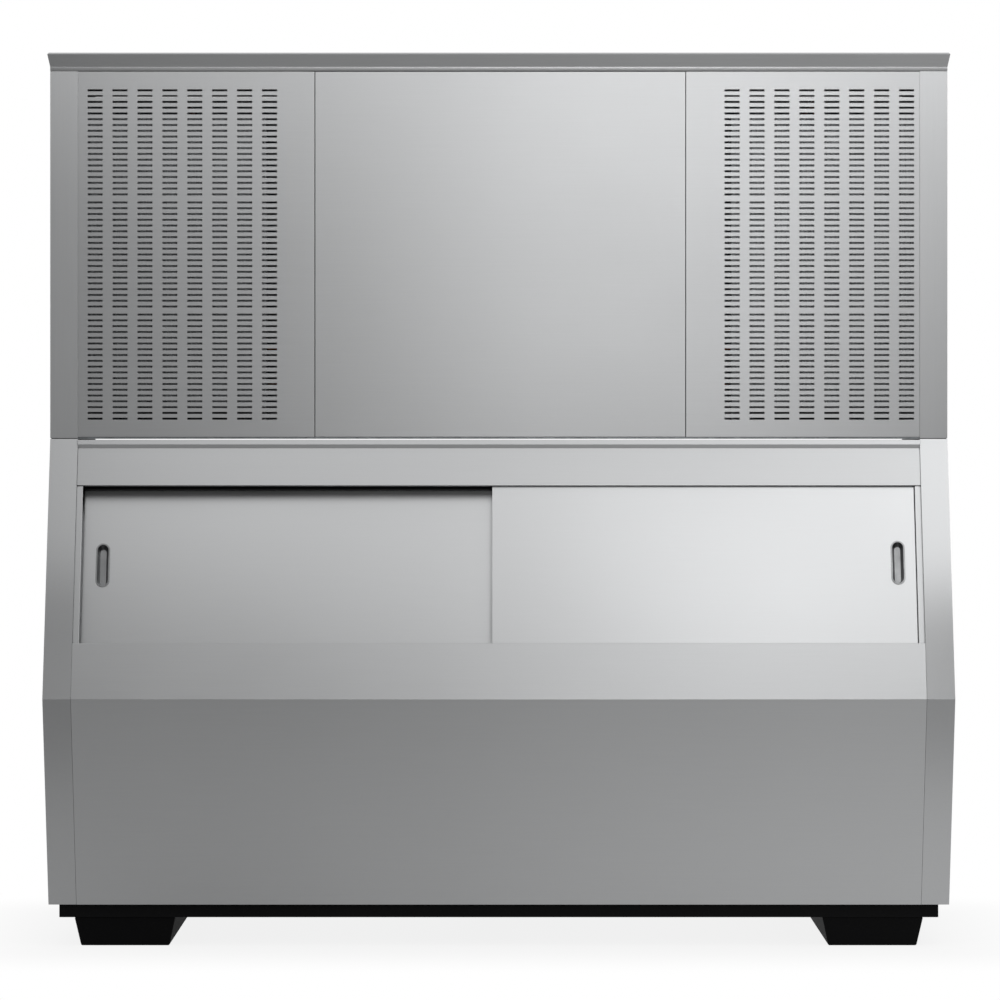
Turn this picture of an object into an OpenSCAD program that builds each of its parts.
// Cube ice machine: a machine section with two vented bays over a sloping ice bin with sliding doors.
// X runs to the right, the front faces -Y and Z is up. The origin is on the floor under the middle.

/* [Overall] */
// Width over the side panels
body_w = 1800; // [1640:10:2000]
// Depth from the back to the knee of the bin front
body_d = 1000; // [950:5:1080]
// Depth of the machine section
machine_d = 813; // [790:1:840]
// Depth of the bin at its foot
toe_d = 855; // [830:1:900]

/* [Heights] */
// Height of the skids
skid_h = 58; // [45:1:75]
// Height of the base rails
rail_h = 27; // [20:1:40]
// Floor to the knee of the bin front
knee_z = 502; // [470:1:530]
// Floor to the sill under the doors
sill_z = 612; // [590:1:640]
// Floor to the lower edge of the header over the doors
head_z = 924; // [890:1:935]
// Floor to the top of the bin
bin_top_z = 1016; // [1005:1:1040]
// Floor to the underside of the cover
cover_z = 1754; // [1730:1:1800]
// Height of the cover
cover_h = 36; // [30:1:50]

/* [Base] */
// Width of a skid at its top
skid_w = 202; // [160:1:240]
// Width of a skid where it meets the floor
skid_foot_w = 177; // [150:1:190]
// Outside of the body to the middle of a skid
skid_inset = 151; // [140:1:200]
// Length of a skid front to back
skid_l = 780; // [650:5:790]
// Wall of a skid
skid_t = 6; // [4:1:9]
// Inset of the base rails from the outside of the body
rail_inset = 20; // [12:1:28]
// Width of the front and back base rails
rail_w = 30; // [20:1:45]
// Width of the cross rails
cross_w = 90; // [70:1:100]
// Wall of the rail tubes
rail_t = 2; // [1.5:0.5:4]
// Radius of the skid bolts
bolt_r = 5; // [4:0.5:6]
// Height of the heads of the skid bolts
bolt_head = 7; // [4:1:9]
// Top of a skid to the seat of its bolt heads
bolt_sink = 20; // [14:1:26]
// End of a skid to its nearest bolts
bolt_inset = 90; // [60:5:150]
// Edge of a skid to its bolts
bolt_edge = 45; // [42:1:50]
// Inner edge of an outer cross rail to its bolts
bolt_rail = 15; // [12:1:30]
// Gap between a bolt head and its pocket
bolt_gap = 3; // [1:0.5:4]
// Wall of a bolt boss
boss_wall = 3; // [2:0.5:4]
// Length of a skid bolt past the wall of its rail
bolt_reach = 10; // [6:1:14]
// Front rail to the front of a skid
skid_setback = 5; // [2:1:15]

/* [Sheet metal] */
// Thickness of the stainless sheet
skin = 2; // [1:0.5:2.5]
// Gap at the seams between panels
seam = 1.2; // [0.8:0.1:2]
// Width of the front posts folded from the side panels
post_w = 55; // [50:1:65]
// Width of the other folded returns
return_w = 30; // [20:1:40]
// Depth of the folded edge round each front panel
panel_edge = 14; // [10:1:18]
// Width of the centre panel
centre_w = 743; // [720:1:760]
// Shift of the centre panel to the right
centre_shift = 3; // [-5:1:5]
// Radius of the rolled nose over the header
bull_r = 5.5; // [4:0.5:7]
// Width of the strip under the cover's leaning edge
cover_strip = 8; // [5:1:12]
// Overhang of the cover at the front
cover_front = 12; // [6:1:20]
// Overhang of the cover at each side
cover_side = 5; // [2:1:8]

/* [Vents] */
// Length of a vent slot
slot_l = 30; // [24:1:34]
// Height of a vent slot
slot_h = 4; // [3:0.5:5]
// Step between slot columns
slot_step_x = 50; // [48:0.5:51]
// Step between slot rows
slot_step_z = 11.6; // [10:0.1:11.8]
// Least distance from a slot to the seam of the centre panel
slot_room = 60; // [50:1:69]
// Rows of slots in one group
slot_rows = 19; // [12:1:19]
// Step between the groups of rows
slot_group_step = 225; // [222:1:230]
// Groups of rows in each vent panel
slot_groups = 3; // [2:1:3]
// Seam of the post to the first slot, left panel
slot_margin_left = 20; // [15:1:30]
// Seam of the post to the last slot, right panel
slot_margin_right = 12; // [10:1:20]
// Underside of the cover to the middle of the top row
slot_drop = 39; // [30:1:45]

/* [Back and services] */
// Length of an exhaust slot
exhaust_l = 60; // [40:1:66]
// Height of an exhaust slot
exhaust_h = 6; // [4:0.5:10]
// Columns of exhaust slots behind each fan
exhaust_cols = 5; // [3:1:5]
// Rows of exhaust slots behind each fan
exhaust_rows = 22; // [10:1:26]
// Step between the columns of exhaust slots
exhaust_step_x = 72; // [68:1:76]
// Step between the rows of exhaust slots
exhaust_step_z = 18; // [14:1:22]
// Radius of the screw heads
screw_r = 5; // [4:0.5:6]
// Height of the screw heads
screw_h = 1.6; // [1:0.1:1.9]
// Edge of a back panel to its screws
screw_inset = 14; // [12:1:20]
// Width of the service pocket
pocket_w = 220; // [200:5:260]
// Height of the service pocket
pocket_h = 120; // [100:5:150]
// Depth of the service pocket
pocket_d = 45; // [40:1:50]
// Deck to the foot of the service pocket
pocket_lift = 41; // [34:1:60]
// Middle of the machine to the water inlet
inlet_x = -60; // [-70:1:-50]
// Middle of the machine to the cable gland
gland_x = 50; // [40:1:70]
// Radius of the water inlet
inlet_r = 12; // [10:0.5:13]
// Bore of the water inlet
inlet_bore_r = 8; // [6:0.5:8.5]
// Width of the inlet valve
valve_body_w = 40; // [30:1:46]
// Length of the inlet valve
valve_body_l = 50; // [40:1:60]
// Radius of the cable gland
gland_r = 9; // [7:0.5:11]
// Bore of the cable gland
gland_bore_r = 5; // [4:0.5:5.5]

/* [Bin] */
// Thickness of the floor of the bin
floor_wall = 60; // [45:1:80]
// Thickness of the back wall of the bin
back_wall = 60; // [45:1:80]
// Thickness of the lower front wall of the bin
nose_wall = 60; // [50:1:75]
// Thickness of the liner
liner_t = 3; // [2:0.5:4]
// Radius of the drain bore
drain_r = 14; // [10:1:17]
// Wall of the drain fitting
drain_t = 4; // [3:0.5:6]

/* [Doors] */
// Distance of the front door behind the bin front
door_recess = 10; // [9:1:14]
// Thickness of each door
door_t = 24; // [22:1:30]
// Gap between the two doors
door_gap = 8; // [7:1:12]
// Overlap of the closed doors at the middle
door_lap = 26; // [16:1:40]
// Thickness of the door sheet
door_skin = 1.5; // [1:0.5:2]
// Gap between a closed door and its jamb
jamb_gap = 2; // [1:0.5:4]
// Width of the jambs
jamb_w = 13; // [10:1:18]
// Thickness of the door tracks
track_t = 3; // [2:0.5:4]
// Gap between a door and the ribs of its track
track_play = 1; // [0.6:0.1:1.5]
// Depth of the grooves of the lower track
groove_h = 13; // [11:1:16]
// Ledge behind the lower track
track_ledge = 11; // [8:1:16]
// Length of a door that is hidden behind the header
door_tuck = 14; // [10:1:18]
// Room over a door to lift it out
lift_room = 14; // [13:1:18]
// Height of the glides under a door
glide_h = 6; // [4:0.5:8]
// Height of the guides on top of a door
guide_h = 5; // [4:0.5:7]
// Length of a glide
glide_l = 60; // [40:1:90]
// Gap under sliding pieces
run_gap = 0.3; // [0.2:0.1:0.5]

/* [Finger cups] */
// Width of a finger cup
cup_w = 22; // [20:1:26]
// Height of a finger cup
cup_h = 86; // [70:1:100]
// Depth of a finger cup
cup_depth = 14; // [12:1:17]
// Width of the floor of a finger cup
cup_floor_w = 12; // [9:1:15]
// Wall of a finger cup
cup_t = 1.2; // [0.8:0.1:1.6]
// Rim of a finger cup on the door sheet
cup_rim = 2.6; // [2:0.1:3.5]
// Outer edge of the left door to the middle of its cup
cup_inset_left = 39; // [30:1:50]
// Outer edge of the right door to the middle of its cup
cup_inset_right = 35; // [30:1:50]
// Floor to the middle of the left cup
cup_z_left = 763; // [730:1:800]
// Floor to the middle of the right cup
cup_z_right = 769; // [730:1:800]

/* [Freezing section] */
// Thickness of the deck under the machine section
deck_t = 3; // [2:0.5:4]
// Width of the ice drop through the deck
drop_w = 660; // [600:5:680]
// Depth of the ice drop through the deck
drop_d = 205; // [160:5:215]
// Front panels to the front edge of the ice drop
drop_y = 85; // [70:1:90]
// Width of an evaporator
evap_w = 300; // [275:25:300]
// Height of an evaporator
evap_h = 450; // [400:25:475]
// Step between the ice cells
cell_step = 25; // [20:0.5:30]
// Wall between the ice cells
cell_wall = 1.5; // [1:0.1:2]
// Depth of the ice cells
cell_depth = 22; // [15:1:26]
// Thickness of the evaporator back plate
evap_t = 2; // [1.5:0.5:3]
// Deck to the foot of the evaporators
evap_lift = 131; // [120:1:140]
// Middle of the machine to the middle of an evaporator
evap_x = 165; // [162:1:175]
// Front panels to the freezer bulkhead
bulkhead_y = 375; // [368:1:385]
// Radius of the evaporator tube
coil_r = 6; // [4:0.5:6]
// Step between the passes of the evaporator tube
coil_step = 50; // [40:1:50]
// Passes of the evaporator tube
coil_passes = 8; // [4:2:8]
// Thickness of an ice curtain
curtain_t = 3; // [2:0.5:4]
// Front panels to the hanging ice curtains
curtain_y = 288; // [280:1:292]
// Radius of the curtain pins
pin_r = 4; // [3:0.5:4.5]
// Running clearance of the pins and shafts
pin_play = 0.05; // [0.03:0.01:0.08]
// Height of the water sump
sump_h = 75; // [60:1:76]
// Depth of the water sump front to back
sump_d = 198; // [180:1:210]
// Wall of the water sump
sump_t = 3; // [2:0.5:5]
// Radius of the water distributor tubes
spray_r = 9; // [7:0.5:10]
// Radius of the pump motor
pump_r = 38; // [30:1:42]
// Length of the float arm
float_l = 110; // [90:1:125]
// Radius of the float
float_r = 16; // [12:1:18]
// Half the length of a pass of the evaporator tube
coil_half = 110; // [95:5:115]
// Thickness of the ears that carry the curtains
hanger_t = 3; // [2:0.5:4]
// Height of the ears that carry the curtains
hanger_h = 14; // [12:1:18]
// Gap between a curtain and its ears
curtain_gap = 2; // [1:0.5:3]
// Middle of the machine to the pump
pump_x = 250; // [235:5:265]
// Thickness of the plate under the pump motor
pump_plate = 3; // [2:0.5:5]
// Height of the pump motor
pump_motor_l = 80; // [60:5:95]
// Radius of the pump housing in the sump
impeller_r = 28; // [22:1:32]
// Middle of the machine to the float valve
valve_x = -250; // [-265:5:-235]
// Width of the float valve
valve_w = 30; // [24:1:34]
// Thickness of the float valve
valve_t = 15; // [12:1:18]
// Thickness of the clip over the rear wall of the sump
valve_clip = 5; // [3:1:7]
// Height of the neck of the float valve
valve_neck = 26; // [22:1:34]
// Deck to the pin of the float arm
float_lift = 56; // [52:1:58]
// Radius of the pin of the float arm
float_pin_r = 2.5; // [2:0.5:3]
// Length of the pin of the float arm
float_pin_l = 12; // [10:1:14]

/* [Refrigeration] */
// Side wall of the freezing section to a condenser
cond_room = 93; // [88:1:110]
// Depth of a condenser
cond_d = 70; // [50:1:80]
// Height of a condenser
cond_h = 590; // [520:5:620]
// Step between the condenser fins
fin_step = 10; // [8:1:14]
// Depth of the gaps between the fins
fin_depth = 12; // [8:1:20]
// Side of a condenser to the fan blades
fan_edge = 37; // [33:1:55]
// Gap round the fan blades
fan_gap = 8; // [6:1:10]
// Blades of a fan
fan_blades = 5; // [4:1:6]
// Pitch of the fan blades
fan_pitch = 28; // [20:1:35]
// Width of a fan blade at the hub
blade_root = 24; // [16:1:30]
// Width of a fan blade at its middle
blade_w = 74; // [50:1:80]
// Width of a fan blade near its tip
blade_tip_w = 64; // [40:1:70]
// Rounding of the tip of a fan blade
blade_round = 6; // [4:1:10]
// Thickness of a fan blade
blade_t = 2; // [1.5:0.5:3]
// Fan hub to the fan motor
motor_gap = 15; // [12:1:20]
// Condenser plate to the middle of a fan
fan_back = 24; // [22:1:28]
// Radius of the fan hub
hub_r = 28; // [24:1:34]
// Radius of the fan shaft
shaft_r = 6; // [4:0.5:8]
// Radius of a fan motor
motor_r = 46; // [38:1:52]
// Radius of a compressor
comp_r = 105; // [90:1:115]
// Height of a compressor
comp_h = 270; // [230:1:300]
// Radius of the refrigerant lines
line_r = 6; // [4:0.5:6]
// Radius of the bends in the lines
line_bend = 20; // [15:1:20]
// Gap round a line where it passes a wall
line_gap = 3; // [2.5:0.5:4]
// Wall of the condenser fins
fin_wall = 1.5; // [1:0.5:2.5]
// Radius of the condenser tube
cond_tube_r = 5; // [4:0.5:6]
// Radius of the return bends of the condenser tube
cond_bend_r = 12; // [10:0.5:14]
// Step between the return bends
cond_bend_step = 48; // [44:1:60]
// Gap between the return bends and the side panels
cond_gap = 3; // [2:1:8]
// Front frame to the condensers
cond_front = 4; // [2:1:10]
// Thickness of the end plates of a condenser
cond_plate = 3; // [2:0.5:4]
// Deck to the foot of the condensers
cond_foot = 60; // [40:5:80]
// Length of the collar round a fan
collar_l = 40; // [36:1:44]
// Length of the hub of a fan
hub_l = 30; // [26:1:34]
// Width of the legs of a motor bracket
bracket_w = 20; // [14:1:26]
// Thickness of a motor bracket
bracket_t = 4; // [3:0.5:5]
// Fan collar to the legs of a motor bracket
bracket_gap = 12; // [8:1:14]
// Length of a fan motor
motor_l = 80; // [60:5:100]
// Middle of a fan to the middle of its compressor
comp_shift = 33; // [20:1:45]
// Middle of the bulkhead to the middle of a compressor
comp_back = 138; // [130:1:150]
// Height of the feet of a compressor
mount_h = 18; // [12:1:26]
// Thickness of the base plate of a compressor
comp_base = 4; // [3:0.5:6]
// Side wall of the freezing section to the suction line
suction_gap = 45; // [40:1:50]
// Side wall of the freezing section to the liquid line
liquid_gap = 55; // [50:1:60]
// Middle of a compressor to the liquid line behind it
liquid_back = 60; // [50:5:70]
// Base of a compressor to the suction line
suction_lift = 90; // [70:5:120]
// Rise of the discharge line over the condenser
discharge_lift = 30; // [26:1:50]
// Radius of the filter driers
drier_r = 16; // [12:1:18]
// Length of the filter driers
drier_l = 90; // [70:5:110]

/* [Controls] */
// Width of the control box
box_w = 76; // [70:1:80]
// Depth of the control box
box_d = 130; // [100:5:140]
// Height of the control box
box_h = 380; // [300:10:420]
// Deck to the foot of the control box
box_lift = 240; // [230:5:280]
// Wall of the control box
box_t = 1.5; // [1:0.5:2]
// Radius of the selector knob
knob_r = 14; // [10:1:18]
// Length of the selector knob
knob_l = 8; // [6:0.5:9]
// Radius of the stem of the selector knob
stem_r = 4; // [3:0.5:5]

/* [Hidden] */
$fn = 48;
over = 1;
steel = "#b9bbbc";
dark_steel = "#8f9294";
black = "#151515";
white_plastic = "#e9ebe8";
copper = "#b4673c";

// Faces of the body
half_w = body_w / 2;
y_back = body_d / 2;
y_knee = -body_d / 2;
y_front = y_back - machine_d;
y_toe = y_back - toe_d;
z_body = skid_h + rail_h;
inner_w = half_w - post_w;
panel_x = inner_w - seam / 2;

// Door plane: n runs inward from the bin front, s runs up it from the knee
lean = atan((y_front - y_knee) / (bin_top_z - knee_z));
function up_front(z, n = 0) = (z - knee_z + n * sin(lean)) / cos(lean);
function front_pt(n, s) =
    [y_knee + n * cos(lean) + s * sin(lean), knee_z - n * sin(lean) + s * cos(lean)];
s_sill = up_front(sill_z);
s_head = up_front(head_z);
header_recess = 3;
s_fascia = up_front(bin_top_z - 2 * bull_r - 1);

// Stack of the tracks and doors, inward from the bin front
n_rib = door_recess - track_play - track_t;
n_rear = door_recess + door_t + door_gap;
n_last = n_rear + door_t + track_play;
n_ledge = n_last + track_t + track_ledge;
sill_wall = n_ledge + liner_t;
ribs = [
    [n_rib, n_rib + track_t],
    [door_recess + door_t + track_play, n_rear - track_play],
    [n_last, n_last + track_t]
];
s_track = s_sill - groove_h - 1;
s_door = s_track + run_gap + glide_h;
s_tuck = s_head + door_tuck;
s_roof = s_tuck + guide_h + lift_room;
door_edge = inner_w - jamb_w - jamb_gap;
track_x = inner_w - jamb_w - run_gap;

// Outlines of the bin from the side, walked from the toe along the floor to the back
bin_outline = [
    [y_toe, z_body], [y_back, z_body], [y_back, bin_top_z], [y_front, bin_top_z], [y_knee, knee_z]
];
foam_drop = 3 * skin;
foam_front = skin + run_gap / 3;
foam_outline = inset(bin_outline, [2 * skin, 2 * skin, foam_drop, foam_front, foam_front]);
liner_drop = skin + run_gap;
liner_inside = inset(bin_outline, [floor_wall, back_wall, liner_drop - over, sill_wall, nose_wall]);
liner_outside = inset(bin_outline, [
    floor_wall - liner_t, back_wall - liner_t, liner_drop, sill_wall - liner_t, nose_wall - liner_t
]);

// Sheets, panels and compartments of the machine section
deck_z = bin_top_z + deck_t;
panel_z = deck_z + seam / 2;
panel_top = cover_z - seam;
roof_z = cover_z - skin;
split_left = centre_shift - centre_w / 2;
split_right = centre_shift + centre_w / 2;
frame_w = 20;
y_frame = y_front + panel_edge;
y_bay = y_frame + frame_w;
y_wall = y_back - 2 * skin;
function wall_x(side) = centre_shift + side * (centre_w + seam) / 2;

// Evaporators, their tube and the curtains in front of them
y_bulkhead = y_front + bulkhead_y;
coil_y = y_bulkhead - 2 * coil_r;
y_plate = coil_y - coil_r - run_gap;
y_curtain = y_front + curtain_y;
evap_z = deck_z + evap_lift;
evap_mid = evap_z + evap_h / 2;
curtain_half = evap_w / 2;
pivot_z = evap_z + evap_h + 6;
spray_z = pivot_z + hanger_h / 2 + spray_r + run_gap;
spray_y = y_plate - evap_t - cell_depth / 2;
function evap_mid_x(side) = centre_shift + side * evap_x;

// Water circuit
y_sump = y_bulkhead - 70;
sump_x0 = wall_x(-1) + 12;
sump_x1 = wall_x(1) - 12;
sump_top = deck_z + sump_h;
y_sump_wall = y_sump + sump_d - sump_t;
pump_y = y_sump_wall - pump_r - 9;
float_z = deck_z + float_lift;
float_y = y_sump_wall - valve_t - float_pin_l / 2;

// Condenser bays
cond_out = half_w - skin - cond_bend_r - cond_tube_r - cond_gap;
cond_in = wall_x(1) + cond_room;
cond_w = cond_out - cond_in;
cond_mid = cond_in + cond_w / 2;
fan_r = cond_w / 2 - fan_edge;
cond_z = deck_z + cond_foot;
fan_z = cond_z + cond_h / 2;
y_cond = y_bay + cond_front;
y_shroud = y_cond + cond_d;
y_fan = y_shroud + fan_back;
y_motor = y_fan + hub_l / 2 + motor_gap;
comp_x = cond_mid - comp_shift;
comp_y = y_bulkhead + comp_back;
comp_z = deck_z + mount_h;

// Refrigerant lines
coil_top = evap_mid + (coil_passes - 1) / 2 * coil_step;
coil_foot = evap_mid - (coil_passes - 1) / 2 * coil_step;
suction_y = comp_y;
function suction_x(side) = wall_x(side) + side * suction_gap;
function liquid_x(side) = wall_x(side) + side * liquid_gap;
suction_z = comp_z + comp_base + suction_lift;
liquid_y = comp_y - liquid_back;
discharge_z = cond_z + cond_h + discharge_lift;
feed_z = sump_top + valve_clip + valve_neck + 2 * line_bend;
box_z = deck_z + box_lift;

// Base, drain and the sides of the machine section
y_skid = y_toe + rail_inset + skid_setback;
y_skid_end = y_skid + skid_l;
skid_slope = (skid_w - skid_foot_w) / 2;
rail_x = half_w - rail_inset;
y_rail = y_toe + rail_inset;
y_rail_end = y_back - rail_inset;
skid_x = half_w - skid_inset;
outer_bolt_x = skid_x + skid_w / 2 - bolt_edge;
inner_bolt_x = skid_x - skid_w / 2 + bolt_edge;
bolt_seat = skid_h - bolt_sink;
bolt_pocket_r = 2 * bolt_r + bolt_gap;
boss_r = bolt_pocket_r + boss_wall;
bolt_xs = [outer_bolt_x, inner_bolt_x];
bolt_ys = [y_skid + bolt_inset, y_skid_end - bolt_inset];
cross_xs = [outer_bolt_x - bolt_rail + cross_w / 2, inner_bolt_x];
drain_z = z_body + floor_wall + drain_r + drain_t + 1;
drain_flange_r = drain_r + drain_t + 6;
upper_outline = [
    [y_front, bin_top_z + seam], [y_back, bin_top_z + seam], [y_back, cover_z], [y_front, cover_z]
];

// Service pocket in the back panel
pocket_z = deck_z + pocket_lift;
fitting_z = pocket_z + pocket_h / 2;

function unit(v) = v / norm(v);
function left_of(u) = [-u[1], u[0]];
// Shift of a corner between two edges that move left by da and db
function corner_shift(u, v, da, db) =
    let (p = left_of(u), q = left_of(v), det = p[0] * q[1] - p[1] * q[0])
    [q[1] * da - p[1] * db, p[0] * db - q[0] * da] / det;
// Closed outline with edge i moved inward by d[i], corners kept sharp
function inset(p, d) =
    let (n = len(p))
    [for (i = [0:n - 1])
        let (a = p[(i + n - 1) % n], b = p[i], c = p[(i + 1) % n])
        b + corner_shift(unit(b - a), unit(c - b), d[(i + n - 1) % n], d[i])];
// Section of a sheet of thickness t folded along a path, with the sheet on the left of the path
function fold(p, t) =
    let (n = len(p))
    concat(p, [for (i = [n - 1:-1:0])
        i == 0 ? p[0] + t * left_of(unit(p[1] - p[0]))
        : i == n - 1 ? p[i] + t * left_of(unit(p[i] - p[i - 1]))
        : p[i] + corner_shift(unit(p[i] - p[i - 1]), unit(p[i + 1] - p[i]), t, t)]);

// Block between two corners
module box(lo, hi) {
    translate(lo) cube(hi - lo);
}

// Side view outline (y, z) extruded from x0 to x1
module along_x(x0, x1, outline) {
    translate([x0, 0, 0]) rotate([90, 0, 90]) linear_extrude(x1 - x0) polygon(outline);
}

// Front view shape (x, z) extruded from y0 to y1
module along_y(y0, y1) {
    translate([0, y1, 0]) rotate([90, 0, 0]) linear_extrude(y1 - y0) children();
}

// Rectangle between two corners
module rect(lo, hi) {
    translate(lo) square(hi - lo);
}

// Cylinder along Y from y0 to y1
module rod_y(x, y0, y1, z, r) {
    translate([x, y1, z]) rotate([90, 0, 0]) cylinder(h = y1 - y0, r = r);
}

// Cylinder along X from x0 to x1
module rod_x(x0, x1, y, z, r) {
    translate([x0, y, z]) rotate([0, 90, 0]) cylinder(h = x1 - x0, r = r);
}

// Children are drawn for the right side and mirrored for the left
module on_side(side) {
    if (side < 0) mirror([1, 0, 0]) children();
    else children();
}

// Children are drawn in the door plane: x across, y inward as n, z up the slope as s
module on_front() {
    translate([0, y_knee, knee_z]) rotate([-lean, 0, 0]) children();
}

// Straight tube from a to b
module rod(a, b, r) {
    d = b - a;
    translate(a) rotate([0, acos(d[2] / norm(d)), atan2(d[1], d[0])]) cylinder(h = norm(d), r = r);
}

// Tube along a route, with bends of one radius at its corners
module pipe(route, r, bend) {
    last = len(route) - 1;
    way = [for (i = [0:last - 1]) unit(route[i + 1] - route[i])];
    turns = [for (i = [0:last]) i == 0 || i == last ? 0 : acos(way[i - 1] * way[i])];
    cuts = [for (t = turns) bend * tan(t / 2)];
    for (i = [0:last - 1])
        rod(route[i] + way[i] * cuts[i], route[i + 1] - way[i] * cuts[i + 1], r);
    for (i = [1:last - 1]) {
        u = way[i - 1];
        m = unit(way[i] - u * (u * way[i]));
        w = cross(u, m);
        c = route[i] - u * cuts[i] + m * bend;
        multmatrix([[-m[0], u[0], w[0], c[0]], [-m[1], u[1], w[1], c[1]], [-m[2], u[2], w[2], c[2]]])
            rotate_extrude(angle = turns[i]) translate([bend, 0]) circle(r);
    }
}

// Body with round ends along y that narrows from r1 to r2 over its height
module trough(r1, r2, h, straight) {
    for (turn = [0, 180])
        rotate([0, 0, turn]) translate([0, straight / 2, 0])
            rotate_extrude(angle = 180) polygon([[0, 0], [r1, 0], [r2, h], [0, h]]);
    rotate([90, 0, 0]) linear_extrude(straight, center = true)
        polygon([[-r1, 0], [r1, 0], [r2, h], [-r2, h]]);
}

// Base: skids, their bolts and the rails

// Skid body, smaller by t on every side but the top
module skid_form(t) {
    foot = t > 0 ? t : 0;
    intersection() {
        along_y(y_skid - over, y_skid_end + over)
            polygon(inset([
                [skid_x - skid_foot_w / 2, 0], [skid_x + skid_foot_w / 2, 0],
                [skid_x + skid_w / 2, skid_h], [skid_x - skid_w / 2, skid_h]
            ], [foot, t, t > 0 ? -over : 0, t]));
        along_x(skid_x - skid_w, skid_x + skid_w, inset([
            [y_skid + skid_slope, 0], [y_skid_end - skid_slope, 0], [y_skid_end, skid_h], [y_skid, skid_h]
        ], [foot, t, t > 0 ? -over : 0, t]));
    }
}

// Moulded skid: a tapered tub with bosses for its bolts
module skid(side) {
    on_side(side) difference() {
        union() {
            difference() {
                skid_form(0);
                skid_form(skid_t);
            }
            intersection() {
                skid_form(0);
                for (x = bolt_xs, y = bolt_ys)
                    translate([x, y, skid_t / 2]) cylinder(h = skid_h, r = boss_r);
            }
        }
        for (x = bolt_xs, y = bolt_ys) {
            translate([x, y, -over]) cylinder(h = skid_h + 2 * over, r = bolt_r + run_gap);
            translate([x, y, -over]) cylinder(h = bolt_seat + over, r = bolt_pocket_r);
        }
    }
}

module skid_left() {
    color(black) skid(-1);
}

module skid_right() {
    color(black) skid(1);
}

// Hexagon bolts that hold the skids to the cross rails
module skid_bolts() {
    color(dark_steel)
        for (side = [-1, 1]) on_side(side)
            for (x = bolt_xs, y = bolt_ys) translate([x, y, bolt_seat - bolt_head]) {
                cylinder(h = bolt_head, r = 2 * bolt_r, $fn = 6);
                cylinder(h = skid_h - bolt_seat + bolt_head + rail_t + bolt_reach, r = bolt_r);
            }
}

// Front and back rails, channels open to the inside
module base_long_rails() {
    color(black) for (edge = [[y_rail, 1], [y_rail_end, -1]]) {
        y0 = edge[1] > 0 ? edge[0] : edge[0] - rail_w;
        difference() {
            box([-rail_x, y0, skid_h], [rail_x, y0 + rail_w, z_body]);
            translate([0, edge[1] * rail_t, 0])
                box([-rail_x + rail_t, y0, skid_h + rail_t], [rail_x - rail_t, y0 + rail_w, z_body - rail_t]);
        }
    }
}

// Square cross tubes from the front rail to the back one
module base_cross_rails() {
    color(black) for (side = [-1, 0, 1]) {
        for (x = side == 0 ? [0] : side * cross_xs) difference() {
            box([x - cross_w / 2, y_rail + rail_w, skid_h], [x + cross_w / 2, y_rail_end - rail_w, z_body]);
            box([x - cross_w / 2 + rail_t, y_rail, skid_h + rail_t],
                [x + cross_w / 2 - rail_t, y_rail_end, z_body - rail_t]);
            if (side != 0) for (b = side * bolt_xs, y = bolt_ys)
                translate([b, y, skid_h - over]) cylinder(h = rail_t + 2 * over, r = bolt_r + run_gap);
        }
    }
}

// Bin: folded side panels, back, floor, apron, foam, liner and drain

// Side panel folded from one sheet: a wide post in front and narrow returns elsewhere
module folded_side(side, outline, gaps) {
    on_side(side) difference() {
        along_x(panel_x, half_w, outline);
        along_x(panel_x - over, half_w - skin, inset(outline, gaps));
        box([panel_x - over, y_front + skin + over, 0], [half_w - return_w, y_back + over, cover_z + over]);
    }
}

module bin_side_left() {
    color(steel) folded_side(-1, bin_outline, [skin, skin, skin, skin, skin]);
}

module bin_side_right() {
    color(steel) folded_side(1, bin_outline, [skin, skin, skin, skin, skin]);
}

// Galvanised back of the bin, behind the returns of its sides
module bin_back_panel() {
    color(dark_steel) difference() {
        box([-half_w + skin, y_back - 2 * skin, z_body + skin], [half_w - skin, y_back - skin, bin_top_z - skin]);
        rod_y(0, y_back - 3 * skin, y_back, drain_z, drain_r + drain_t + run_gap);
    }
}

// Floor pan on the bottom returns
module bin_floor_pan() {
    color(dark_steel)
        box([-half_w + skin, y_toe + skin, z_body + skin], [half_w - skin, y_back - 2 * skin, z_body + 2 * skin]);
}

// Stainless apron from the sill over the knee to the toe
module bin_apron() {
    color(steel) along_x(-panel_x, panel_x, fold([
        front_pt(n_rib, s_sill), front_pt(0, s_sill), [y_knee, knee_z], [y_toe, z_body],
        [y_toe + return_w, z_body]
    ], skin));
}

// Space of the doorway, from the lower track to the roof of the upper one
module doorway(n0, n1, half) {
    on_front() box([-half, n0, s_track - track_t], [half, n1, s_roof + track_t]);
}

// Foam between the outer sheets and the liner
module bin_insulation() {
    color("#e8d9a8") difference() {
        along_x(-half_w + skin, half_w - skin, foam_outline);
        along_x(-inner_w - liner_t, inner_w + liner_t, liner_outside);
        doorway(-skin, n_ledge + over, inner_w);
        on_front() {
            box([-inner_w, -skin, s_head], [inner_w, header_recess + skin + run_gap, s_fascia + post_w]);
            box([-inner_w, -skin, s_fascia - skin - run_gap],
                [inner_w, header_recess + return_w + run_gap, s_fascia + post_w]);
        }
        rod_y(0, y_back - back_wall, y_back, drain_z, drain_r + drain_t + run_gap / 3);
    }
}

// Moulded liner, open to the doors and to the ice drop over it, with a lip behind each jamb
module bin_liner() {
    color(white_plastic) difference() {
        along_x(-inner_w - liner_t, inner_w + liner_t, liner_outside);
        along_x(-inner_w, inner_w, liner_inside);
        doorway(n_ledge - over, sill_wall + over, inner_w - jamb_w);
        rod_y(0, y_back - back_wall - over, y_back, drain_z, drain_r + drain_t + run_gap / 3);
    }
}

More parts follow.
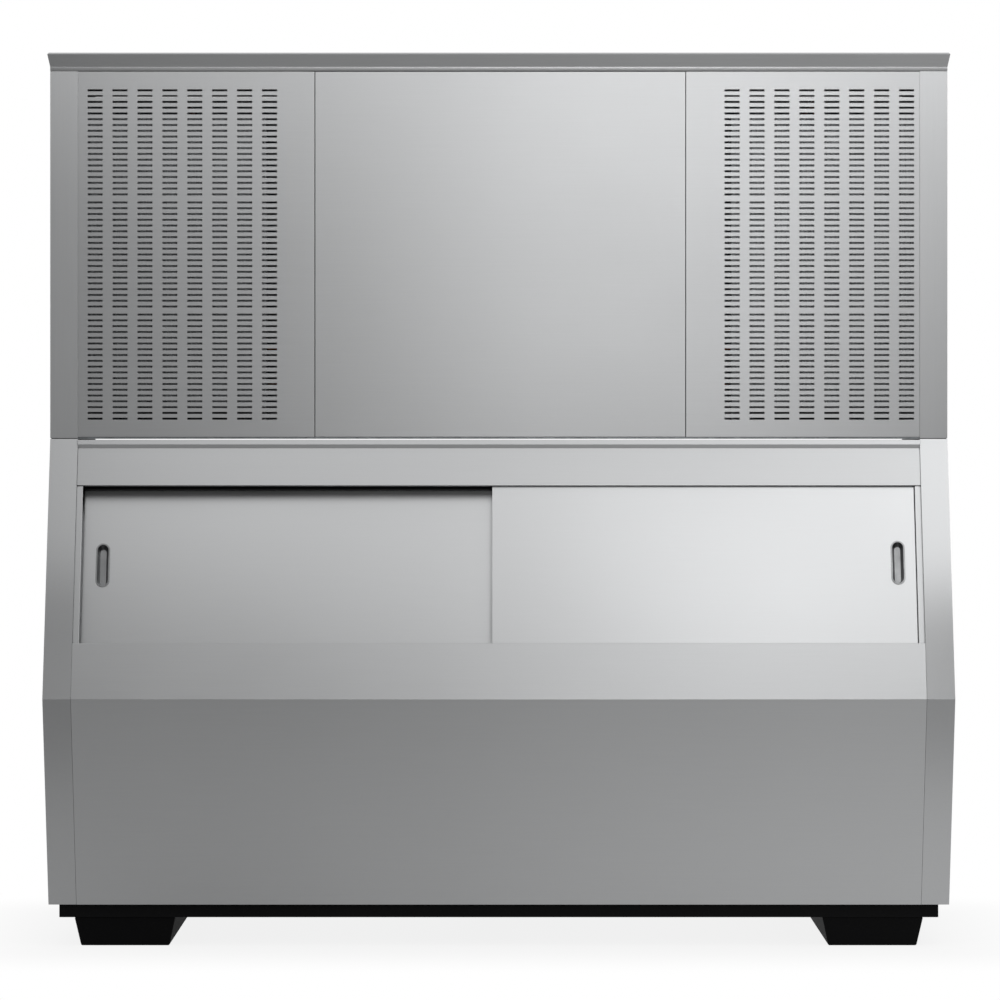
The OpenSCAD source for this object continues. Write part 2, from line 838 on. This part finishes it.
// Drain through the back wall, flush with the liner inside and the body outside
module bin_drain() {
    color(dark_steel) difference() {
        union() {
            rod_y(0, y_back - back_wall, y_back - skin, drain_z, drain_r + drain_t);
            rod_y(0, y_back - skin, y_back, drain_z, drain_flange_r);
        }
        rod_y(0, y_back - back_wall - over, y_back + over, drain_z, drain_r);
    }
}

// Header over the doors, set back a little between the posts, with its lower edge notched round the jambs
module header_fascia() {
    color(steel) difference() {
        along_x(-panel_x, panel_x, fold([
            front_pt(header_recess + return_w, s_fascia), front_pt(header_recess, s_fascia),
            front_pt(header_recess, s_head), front_pt(n_rib + track_t, s_head)
        ], skin));
        for (side = [-1, 1]) on_side(side) on_front()
            box([track_x, n_rib - run_gap, s_head - over], [inner_w, n_ledge, s_fascia - 2 * skin]);
    }
}

// Rolled nose that closes the step between the header and the machine section
module bullnose_trim() {
    top = bin_top_z - run_gap;
    y = y_knee + (top - bull_r - knee_z) * tan(lean);
    color(steel) {
        rod_x(-panel_x, panel_x, y, top - bull_r, bull_r);
        box([-panel_x, y, top - run_gap - skin], [panel_x, y + return_w, top - run_gap]);
    }
}

// Extruded track: a plate with three ribs that stand to one side of it
module track(s_plate, s_ribs) {
    on_front() {
        box([-track_x, n_rib, s_plate], [track_x, n_ledge, s_plate + track_t]);
        for (rib = ribs)
            box([-track_x, rib[0], s_ribs[0]], [track_x, rib[1], s_ribs[1]]);
    }
}

module upper_door_track() {
    color(dark_steel) track(s_roof, [s_head + skin, s_roof]);
}

module lower_door_track() {
    color(dark_steel) track(s_track - track_t, [s_track, s_sill - 1]);
}

// Folded channels at the ends of the tracks
module door_jambs() {
    color(steel) for (side = [-1, 1]) on_side(side) on_front() difference() {
        box([inner_w - jamb_w, n_rib, s_track - track_t], [inner_w, n_ledge, s_roof + track_t]);
        box([inner_w - jamb_w - over, n_rib + door_skin, s_track - track_t - over],
            [inner_w - door_skin, n_ledge - door_skin, s_roof + track_t + over]);
    }
}

// Doors: each is a folded pan with a foam core, a finger cup and nylon glides

function door_x0(side) = side < 0 ? -door_edge : -door_lap / 2;
function door_x1(side) = side < 0 ? door_lap / 2 : door_edge;
function door_n(side) = side < 0 ? n_rear : door_recess;
function cup_x(side) = side < 0 ? -door_edge + cup_inset_left : door_edge - cup_inset_right;
function cup_s(side) = up_front(side < 0 ? cup_z_left : cup_z_right, door_n(side));

// Space of a finger cup, grown by t, from the face of its door inward
module cup_form(side, t) {
    translate([cup_x(side), door_n(side), cup_s(side)]) rotate([-90, 0, 0])
        trough(cup_w / 2 + t, cup_floor_w / 2 + t, cup_depth + t, cup_h - cup_w);
}

// Straight-sided space with the outline of a finger cup, from n0 to n1 of its door
module cup_ring(side, t, n0, n1) {
    translate([cup_x(side), door_n(side) + n0, cup_s(side)]) rotate([-90, 0, 0])
        trough(cup_w / 2 + t, cup_w / 2 + t, n1 - n0, cup_h - cup_w);
}

// Stainless pan with its edges folded back
module door_pan(side) {
    n = door_n(side);
    on_front() difference() {
        box([door_x0(side), n, s_door], [door_x1(side), n + door_t, s_tuck]);
        box([door_x0(side) + door_skin, n + door_skin, s_door + door_skin],
            [door_x1(side) - door_skin, n + door_t + over, s_tuck - door_skin]);
        cup_ring(side, cup_t + run_gap / 3, -over, door_skin + over);
    }
}

// Foam core with its inner facing, flush with the folded edges
module door_core(side) {
    n = door_n(side);
    on_front() difference() {
        box([door_x0(side) + door_skin, n + door_skin, s_door + door_skin],
            [door_x1(side) - door_skin, n + door_t, s_tuck - door_skin]);
        cup_form(side, cup_t + run_gap);
    }
}

// Pressed cup with a rim on the face of the door
module door_cup(side) {
    on_front() difference() {
        union() {
            cup_ring(side, cup_rim, -cup_t, 0);
            cup_form(side, cup_t);
        }
        cup_form(side, 0);
        cup_ring(side, 0, -cup_t - over, 0);
    }
}

// Nylon glides under the door and guides on top of it
module door_glides(side) {
    n = door_n(side);
    ends = [door_x0(side) + glide_l / 2, door_x1(side) - glide_l * 3 / 2];
    on_front() for (x = ends, s = [[s_track + run_gap, s_door], [s_tuck, s_tuck + guide_h]])
        box([x, n + door_skin, s[0]], [x + glide_l, n + door_t - door_skin, s[1]]);
}

module door_left_pan() {
    color(steel) door_pan(-1);
}

module door_left_core() {
    color(white_plastic) door_core(-1);
}

module door_left_cup() {
    color(dark_steel) door_cup(-1);
}

module door_left_glides() {
    color(white_plastic) door_glides(-1);
}

module door_right_pan() {
    color(steel) door_pan(1);
}

module door_right_core() {
    color(white_plastic) door_core(1);
}

module door_right_cup() {
    color(dark_steel) door_cup(1);
}

module door_right_glides() {
    color(white_plastic) door_glides(1);
}

// Machine section: deck, sides, frame, panels, cover and back

// Deck with the ice drop
module machine_deck() {
    color(dark_steel) difference() {
        box([-half_w + skin, y_front + skin, bin_top_z], [half_w - skin, y_wall, deck_z]);
        box([centre_shift - drop_w / 2, y_front + drop_y, bin_top_z - over],
            [centre_shift + drop_w / 2, y_front + drop_y + drop_d, deck_z + over]);
    }
}

module upper_side_left() {
    color(steel) folded_side(-1, upper_outline, [-over, skin, skin, skin]);
}

module upper_side_right() {
    color(steel) folded_side(1, upper_outline, [-over, skin, skin, skin]);
}

// Bottom and top rails behind the front panels
module frame_rails() {
    color(dark_steel) for (z = [deck_z, roof_z - frame_w])
        box([-half_w + skin, y_frame, z], [half_w - skin, y_bay, z + frame_w]);
}

// Uprights behind the seams and at the posts
module frame_uprights() {
    color(dark_steel) for (x = [-half_w + skin + frame_w / 2, wall_x(-1), wall_x(1), half_w - skin - frame_w / 2])
        box([x - frame_w / 2, y_frame, deck_z + frame_w], [x + frame_w / 2, y_bay, roof_z - frame_w]);
}

// Front panel with its edges folded back, and a cut pattern as its children
module front_panel(x0, x1) {
    along_y(y_front, y_front + skin) difference() {
        rect([x0, panel_z], [x1, panel_top]);
        children();
    }
    along_y(y_front + skin, y_frame) difference() {
        rect([x0, panel_z], [x1, panel_top]);
        rect([x0 + skin, panel_z + skin], [x1 - skin, panel_top - skin]);
    }
}

// Field of vent slots from x0 on, in columns that run inward from a post to the centre panel
module vent_slots(x0, seam_x, inward) {
    cols = floor((abs(seam_x - x0) - slot_room - slot_l) / slot_step_x) + 1;
    for (g = [0:slot_groups - 1], row = [0:slot_rows - 1], col = [0:cols - 1])
        translate([
            x0 + inward * (col * slot_step_x + slot_l / 2),
            cover_z - slot_drop - g * slot_group_step - row * slot_step_z
        ]) square([slot_l, slot_h], center = true);
}

module vent_panel_left() {
    color(steel) front_panel(-inner_w + seam / 2, split_left - seam)
        vent_slots(-inner_w + slot_margin_left, split_left, 1);
}

module vent_panel_right() {
    color(steel) front_panel(split_right + seam, inner_w - seam / 2)
        vent_slots(inner_w - slot_margin_right, split_right, -1);
}

module centre_panel() {
    color(steel) front_panel(split_left, split_right);
}

// Cover whose front and side edges lean outward
module top_cover() {
    top = cover_z + cover_h;
    nip = 3;
    side_view = [
        [y_front - skin, cover_z], [y_back, cover_z], [y_back, top],
        [y_front - cover_front + nip, top], [y_front - cover_front, top - nip],
        [y_front - skin, cover_z + cover_strip]
    ];
    front_view = [
        [-half_w, cover_z], [half_w, cover_z], [half_w, cover_z + cover_strip],
        [half_w + cover_side, top - nip], [half_w + cover_side - nip, top],
        [-half_w - cover_side + nip, top], [-half_w - cover_side, top - nip],
        [-half_w, cover_z + cover_strip]
    ];
    color(dark_steel) difference() {
        intersection() {
            along_x(-body_w, body_w, side_view);
            along_y(-body_d, body_d) polygon(front_view);
        }
        intersection() {
            along_x(-body_w, body_w, inset(side_view, [for (p = side_view) skin]));
            along_y(-body_d, body_d) polygon(inset(front_view, [for (p = front_view) skin]));
        }
        box([-half_w + return_w, y_front + return_w, cover_z - over],
            [half_w - return_w, y_back - return_w, cover_z + skin + over]);
    }
}

// Back of the machine section with fan exhausts and a pocket for the services
module upper_back_panel() {
    pocket = [[-pocket_w / 2, pocket_z], [pocket_w / 2, pocket_z + pocket_h]];
    color(dark_steel) {
        along_y(y_wall, y_wall + skin) difference() {
            rect([-half_w + skin, bin_top_z + run_gap], [half_w - skin, roof_z]);
            rect(pocket[0], pocket[1]);
            for (side = [-1, 1], i = [0:exhaust_cols - 1], j = [0:exhaust_rows - 1])
                translate([
                    side * cond_mid + (i - (exhaust_cols - 1) / 2) * exhaust_step_x,
                    fan_z + (j - (exhaust_rows - 1) / 2) * exhaust_step_z
                ]) square([exhaust_l, exhaust_h], center = true);
        }
        along_y(y_wall - pocket_d + skin, y_wall + skin) difference() {
            rect(pocket[0] - [skin, skin], pocket[1] + [skin, skin]);
            rect(pocket[0], pocket[1]);
        }
        along_y(y_wall - pocket_d, y_wall - pocket_d + skin) difference() {
            rect(pocket[0] - [skin, skin], pocket[1] + [skin, skin]);
            translate([inlet_x, fitting_z]) circle(inlet_r + run_gap);
            translate([gland_x, fitting_z]) circle(gland_r + run_gap);
        }
    }
}

// Pan-head screws round the edges of both back panels
module panel_screws() {
    x_end = half_w - return_w - screw_inset;
    color(dark_steel) for (row = [
        z_body + skin + screw_inset, (z_body + bin_top_z) / 2, bin_top_z - skin - screw_inset,
        bin_top_z + return_w, (bin_top_z + cover_z) / 2, roof_z - screw_inset
    ], x = [-x_end, -x_end / 3, x_end / 3, x_end])
        if (abs(x) == x_end || abs(row - (z_body + bin_top_z) / 2) > over && abs(row - (bin_top_z + cover_z) / 2) > over)
            rod_y(x, y_back - skin, y_back - skin + screw_h, row, screw_r);
}

// Freezing section behind the centre panel

// Side walls of the freezing section, with holes for the refrigerant lines
module partitions() {
    color(dark_steel) for (side = [-1, 1]) {
        x = wall_x(side);
        difference() {
            box([x - skin / 2, y_bay, deck_z], [x + skin / 2, y_wall, roof_z]);
            for (hole = [[suction_y, coil_top], [liquid_y, coil_foot]])
                rod_x(x - skin, x + skin, hole[0], hole[1], line_r + line_gap);
        }
    }
}

// Stainless bulkhead with the evaporator stand-offs and the ears for the curtain pins
module freezer_bulkhead() {
    x0 = wall_x(-1) + skin / 2;
    x1 = wall_x(1) - skin / 2;
    color(steel) difference() {
        union() {
            box([x0, y_bulkhead, sump_top + skin], [x1, y_bulkhead + skin, roof_z]);
            for (side = [-1, 1]) {
                x = evap_mid_x(side);
                for (dx = [-1, 1]) {
                    for (dz = [-1, 1])
                        rod_y(x + dx * (evap_w / 2 - 8), y_plate, y_bulkhead, evap_mid + dz * (evap_h / 2 - 7), 5);
                    x_ear = x + dx * (curtain_half + curtain_gap + hanger_t / 2);
                    box([x_ear - hanger_t / 2, y_curtain - hanger_h / 2, pivot_z - hanger_h / 2],
                        [x_ear + hanger_t / 2, y_bulkhead, pivot_z + hanger_h / 2]);
                }
            }
        }
        for (side = [-1, 1], z = [coil_top, coil_foot])
            rod_y(evap_mid_x(side) + side * coil_half, y_bulkhead - over, y_bulkhead + skin + over, z, line_r + line_gap);
        rod_y(centre_shift, y_bulkhead - over, y_bulkhead + skin + over, spray_z, line_r + line_gap);
        rod_x(x0, x1, y_curtain, pivot_z, pin_r + pin_play);
    }
}

// Evaporator: a back plate with an open grid of square ice cells in front
module evaporator(side) {
    cols = floor(evap_w / cell_step);
    rows = floor(evap_h / cell_step);
    w = cols * cell_step + cell_wall;
    h = rows * cell_step + cell_wall;
    corner = [evap_mid_x(side) - w / 2, evap_mid - h / 2];
    color(steel) {
        along_y(y_plate - evap_t, y_plate) rect(corner, corner + [w, h]);
        along_y(y_plate - evap_t - cell_depth, y_plate - evap_t) difference() {
            rect(corner, corner + [w, h]);
            for (i = [0:cols - 1], j = [0:rows - 1])
                translate(corner + [cell_wall + i * cell_step, cell_wall + j * cell_step])
                    square(cell_step - cell_wall);
        }
    }
}

module evaporator_left() {
    evaporator(-1);
}

module evaporator_right() {
    evaporator(1);
}

// Refrigerant route on one side: suction port, bulkhead, serpentine, drier, condenser
function coil_row(side, i) =
    let (x = evap_mid_x(side), d = side * coil_half * (i % 2 == 0 ? 1 : -1), z = coil_top - i * coil_step)
    [[x + d, coil_y, z], [x - d, coil_y, z]];
function coil_points(side) = [for (i = [0:coil_passes - 1], p = coil_row(side, i)) p];
function circuit(side) = concat(
    [
        [side * (comp_x - comp_r), suction_y, suction_z],
        [suction_x(side), suction_y, suction_z],
        [suction_x(side), suction_y, coil_top],
        [evap_mid_x(side) + side * coil_half, suction_y, coil_top]
    ],
    coil_points(side),
    [
        [evap_mid_x(side) + side * coil_half, liquid_y, coil_foot],
        [liquid_x(side), liquid_y, coil_foot],
        [liquid_x(side), y_cond + cond_d / 2, coil_foot],
        [side * cond_in, y_cond + cond_d / 2, coil_foot]
    ]
);

// Copper lines: one circuit and one discharge line on each side, with the filter drier brazed in
module refrigerant_lines() {
    color(copper) for (side = [-1, 1]) {
        pipe(circuit(side), line_r, line_bend);
        rod_y(liquid_x(side), liquid_y - line_bend - 20 - drier_l, liquid_y - line_bend - 20, coil_foot, drier_r);
        pipe([
            [side * comp_x, comp_y, comp_z + comp_base + comp_h],
            [side * comp_x, comp_y, discharge_z],
            [side * comp_x, y_cond + cond_d / 2, discharge_z],
            [side * comp_x, y_cond + cond_d / 2, cond_z + cond_h]
        ], line_r, line_bend);
    }
}

// Perforated tube that wets the evaporators, resting on the ears
module water_distributor() {
    x0 = evap_mid_x(-1) - curtain_half - curtain_gap - hanger_t;
    x1 = evap_mid_x(1) + curtain_half + curtain_gap + hanger_t;
    wall = 1.5;
    color(white_plastic) difference() {
        rod_x(x0, x1, spray_y, spray_z, spray_r);
        rod_x(x0 + 2 * wall, x1 - 2 * wall, spray_y, spray_z, spray_r - wall);
        for (side = [-1, 1], i = [0:floor(evap_w / cell_step) - 1])
            translate([
                evap_mid_x(side) + (i - (floor(evap_w / cell_step) - 1) / 2) * cell_step,
                spray_y, spray_z - spray_r - over
            ]) cylinder(h = spray_r + over, r = wall);
    }
}

// Hoses from the pump to the distributor and from the inlet valve to the float valve
module water_lines() {
    outlet_x = pump_x - pump_r - 15;
    inlet_y = y_wall - pocket_d - valve_body_l / 2;
    color(white_plastic) {
        pipe([
            [outlet_x, pump_y, sump_top + pump_plate], [outlet_x, pump_y, spray_z],
            [centre_shift, pump_y, spray_z], [centre_shift, spray_y + spray_r, spray_z]
        ], line_r, line_bend);
        pipe([
            [inlet_x, inlet_y, fitting_z + valve_body_w / 2], [inlet_x, inlet_y, feed_z],
            [valve_x, inlet_y, feed_z], [valve_x, y_sump_wall - valve_t / 2, feed_z],
            [valve_x, y_sump_wall - valve_t / 2, sump_top + valve_clip + valve_neck]
        ], line_r, line_bend);
    }
}

// Ice curtain: a ribbed sheet that hangs from two pins
module ice_curtain(side) {
    x = evap_mid_x(side);
    drop = evap_h + 20;
    rib = 2;
    color(white_plastic) {
        box([x - curtain_half, y_curtain - curtain_t / 2, pivot_z - drop],
            [x + curtain_half, y_curtain + curtain_t / 2, pivot_z]);
        rod_x(x - curtain_half - curtain_gap - hanger_t, x + curtain_half + curtain_gap + hanger_t,
            y_curtain, pivot_z, pin_r);
        for (i = [-2:2])
            box([x + i * evap_w / 5 - rib / 2, y_curtain - curtain_t / 2 - rib, pivot_z - drop],
                [x + i * evap_w / 5 + rib / 2, y_curtain - curtain_t / 2, pivot_z - hanger_h]);
    }
}

module ice_curtain_left() {
    ice_curtain(-1);
}

module ice_curtain_right() {
    ice_curtain(1);
}

// Open trough under the evaporators
module water_sump() {
    color(white_plastic) difference() {
        box([sump_x0, y_sump, deck_z], [sump_x1, y_sump + sump_d, sump_top]);
        box([sump_x0 + sump_t, y_sump + sump_t, deck_z + sump_t], [sump_x1 - sump_t, y_sump_wall, sump_top + over]);
    }
}

// Circulation pump that stands on the rear wall of the sump
module water_pump() {
    floor_gap = 5;
    z_foot = deck_z + sump_t + floor_gap;
    color(black) {
        box([pump_x - pump_r - 25, pump_y - pump_r, sump_top], [pump_x + pump_r + 5, y_sump + sump_d, sump_top + pump_plate]);
        translate([pump_x, pump_y, sump_top + pump_plate]) cylinder(h = pump_motor_l, r = pump_r);
        translate([pump_x, pump_y, z_foot]) {
            cylinder(h = 18, r = impeller_r);
            cylinder(h = sump_top - z_foot, r = 12);
        }
    }
}

// Float valve clipped over the rear wall of the sump, with the pin of its arm
module float_valve() {
    color(white_plastic) {
        box([valve_x - valve_w / 2, y_sump_wall - valve_t, float_z - 15],
            [valve_x + valve_w / 2, y_sump_wall, sump_top + valve_clip]);
        box([valve_x - valve_w / 2, y_sump_wall, sump_top],
            [valve_x + valve_w / 2, y_sump + sump_d + skin, sump_top + valve_clip]);
        translate([valve_x, y_sump_wall - valve_t / 2, sump_top + valve_clip]) cylinder(h = valve_neck, r = 7);
        rod_y(valve_x, y_sump_wall - valve_t - float_pin_l, y_sump_wall - valve_t, float_z, float_pin_r);
    }
}

// Arm with an eye on the valve's pin and a float at its end
module float_arm() {
    eye_l = float_pin_l - 2;
    y0 = y_sump_wall - valve_t - 1 - eye_l;
    color(black) difference() {
        union() {
            rod_y(valve_x, y0, y0 + eye_l, float_z, 2.4 * float_pin_r);
            rod_x(valve_x, valve_x + float_l, y0 + eye_l / 2, float_z, float_pin_r);
            rod_y(valve_x + float_l, y0 - 30, y0 + eye_l + 8, float_z, float_r);
        }
        rod_y(valve_x, y0 - over, y0 + eye_l + over, float_z, float_pin_r + pin_play);
    }
}

// Condenser bays behind the vent panels

// Finned block between two end plates, with the return bends on the outer side
module condenser(side) {
    fins = floor((cond_w - 2 * cond_plate) / fin_step);
    bends = floor(cond_h / cond_bend_step);
    color(dark_steel) on_side(side) {
        translate([0, 0, cond_z]) linear_extrude(cond_h) difference() {
            rect([cond_in + over, y_cond], [cond_out - over, y_shroud]);
            for (i = [0:fins - 1], y = [y_cond, y_shroud])
                translate([cond_in + cond_plate + (i + 0.5) * fin_step, y])
                    square([fin_step - 2 * fin_wall, 2 * fin_depth], center = true);
        }
        for (x = [cond_in, cond_out - cond_plate])
            box([x, y_cond, deck_z], [x + cond_plate, y_shroud, cond_z + cond_h]);
    }
    color(copper) on_side(side)
        for (i = [0:bends - 1])
            translate([cond_out, y_cond + cond_d / 2, cond_z + (i + 0.5) * cond_h / bends])
                rotate([90, 0, 0]) rotate([0, 0, -90]) rotate_extrude(angle = 180)
                    translate([cond_bend_r, 0]) circle(r = cond_tube_r, $fn = 24);
}

module condenser_left() {
    condenser(-1);
}

module condenser_right() {
    condenser(1);
}

// Plates behind the condensers with a collar round each fan
module fan_shrouds() {
    color(dark_steel) for (side = [-1, 1]) on_side(side) difference() {
        union() {
            box([cond_in, y_shroud, cond_z], [cond_out, y_shroud + skin, cond_z + cond_h]);
            rod_y(cond_mid, y_shroud, y_shroud + collar_l, fan_z, fan_r + fan_gap + skin);
        }
        rod_y(cond_mid, y_shroud - over, y_shroud + collar_l + over, fan_z, fan_r + fan_gap);
    }
}

// Fan motors on four-legged brackets, with their shafts toward the fans
module fan_motors() {
    reach = fan_r + fan_gap + skin + bracket_gap;
    color(black) for (side = [-1, 1]) on_side(side) {
        rod_y(cond_mid, y_motor, y_motor + motor_l, fan_z, motor_r);
        rod_y(cond_mid, y_fan - hub_l / 2 + 2, y_motor, fan_z, shaft_r);
        translate([cond_mid, 0, fan_z]) for (turn = [0:90:270]) rotate([0, turn, 0]) {
            box([motor_r - bracket_t, y_motor, -bracket_w / 2], [reach, y_motor + bracket_t, bracket_w / 2]);
            box([reach - bracket_t, y_shroud + skin, -bracket_w / 2], [reach, y_motor, bracket_w / 2]);
        }
    }
}

// Fan: pitched blades on a hub with a blind bore for the shaft
module fan(side) {
    tip = fan_r - blade_round;
    mid = (hub_r + tip) / 2;
    color(black) translate([side * cond_mid, y_fan, fan_z]) difference() {
        union() {
            rod_y(0, -hub_l / 2, hub_l / 2, 0, hub_r);
            for (i = [0:fan_blades - 1]) rotate([0, i * 360 / fan_blades, 0]) rotate([side * fan_pitch, 0, 0])
                along_y(-blade_t / 2, blade_t / 2) polygon([
                    [hub_r / 2, -blade_root / 2], [mid, -blade_w / 2], [tip - blade_round, -blade_tip_w / 2],
                    [tip, 0], [tip - blade_round, blade_tip_w / 2], [mid, blade_w / 2], [hub_r / 2, blade_root / 2]
                ]);
        }
        rod_y(0, -hub_l / 2 + 1, hub_l / 2 + over, 0, shaft_r + pin_play);
    }
}

module fan_left() {
    fan(-1);
}

module fan_right() {
    fan(1);
}

// Hermetic compressors on base plates and rubber feet
module compressors() {
    shoulder = 35;
    arc = [for (a = [0:15:90]) [comp_r - shoulder + shoulder * sin(a), shoulder * cos(a)]];
    profile = concat(
        [[0, 0], [comp_r - shoulder / 2, 0], [comp_r, shoulder / 2]],
        [for (i = [len(arc) - 1:-1:0]) [arc[i][0], comp_h - shoulder + arc[i][1]]],
        [[0, comp_h]]
    );
    foot = comp_r - 15;
    color(black) for (side = [-1, 1]) {
        translate([side * comp_x, comp_y, comp_z + comp_base]) rotate_extrude() polygon(profile);
        box([side * comp_x - comp_r, comp_y - comp_r, comp_z], [side * comp_x + comp_r, comp_y + comp_r, comp_z + comp_base]);
        for (dx = [-foot, foot], dy = [-foot, foot])
            translate([side * comp_x + dx, comp_y + dy, deck_z]) cylinder(h = mount_h, r = 12);
    }
}

// Control box and its selector

// Control box on the left side wall, with a bored front
module control_box() {
    x1 = wall_x(-1) - skin / 2;
    x0 = x1 - box_w;
    y0 = y_bay + 1;
    color(dark_steel) difference() {
        box([x0, y0, box_z], [x1, y0 + box_d, box_z + box_h]);
        box([x0 + box_t, y0 + box_t, box_z + box_t], [x1 - box_t, y0 + box_d - box_t, box_z + box_h - box_t]);
        rod_y((x0 + x1) / 2, y0 - over, y0 + 2 * box_t, box_z + box_h / 2, stem_r + pin_play);
    }
}

// Selector knob with a stem through the front of the box
module mode_knob() {
    x = wall_x(-1) - skin / 2 - box_w / 2;
    y0 = y_bay + 1;
    color(black) difference() {
        union() {
            rod_y(x, y0 - 0.5 - knob_l, y0 - 0.5, box_z + box_h / 2, knob_r);
            rod_y(x, y0 - 0.5, y0 + 12, box_z + box_h / 2, stem_r);
        }
        box([x - 1, y0 - knob_l - 1.5, box_z + box_h / 2 + 3],
            [x + 1, y0 - knob_l + 1, box_z + box_h / 2 + knob_r + 1]);
    }
}

// Water inlet valve and cable gland in the service pocket
module service_fittings() {
    y = y_wall - pocket_d;
    color(dark_steel) {
        difference() {
            union() {
                translate([inlet_x - valve_body_w / 2, y - valve_body_l, fitting_z - valve_body_w / 2])
                    cube([valve_body_w, valve_body_l, valve_body_w]);
                rod_y(inlet_x, y, y + pocket_d - 8, fitting_z, inlet_r);
            }
            rod_y(inlet_x, y + 4, y + pocket_d, fitting_z, inlet_bore_r);
        }
        difference() {
            union() {
                rod_y(gland_x, y - 12, y + 26, fitting_z, gland_r);
                translate([gland_x, y, fitting_z]) rotate([90, 0, 0]) cylinder(h = 5, r = gland_r + 5, $fn = 6);
                translate([gland_x, y + skin + 5, fitting_z]) rotate([90, 0, 0]) cylinder(h = 5, r = gland_r + 5, $fn = 6);
            }
            rod_y(gland_x, y - 12 - over, y + 26 + over, fitting_z, gland_bore_r);
        }
    }
}

skid_left();
skid_right();
skid_bolts();
base_long_rails();
base_cross_rails();
bin_side_left();
bin_side_right();
bin_back_panel();
bin_floor_pan();
bin_apron();
bin_insulation();
bin_liner();
bin_drain();
header_fascia();
bullnose_trim();
upper_door_track();
lower_door_track();
door_jambs();
door_left_pan();
door_left_core();
door_left_cup();
door_left_glides();
door_right_pan();
door_right_core();
door_right_cup();
door_right_glides();
machine_deck();
upper_side_left();
upper_side_right();
frame_rails();
frame_uprights();
vent_panel_left();
vent_panel_right();
centre_panel();
top_cover();
upper_back_panel();
panel_screws();
partitions();
freezer_bulkhead();
evaporator_left();
evaporator_right();
refrigerant_lines();
water_distributor();
water_lines();
ice_curtain_left();
ice_curtain_right();
water_sump();
water_pump();
float_valve();
float_arm();
condenser_left();
condenser_right();
fan_shrouds();
fan_motors();
fan_left();
fan_right();
compressors();
control_box();
mode_knob();
service_fittings();
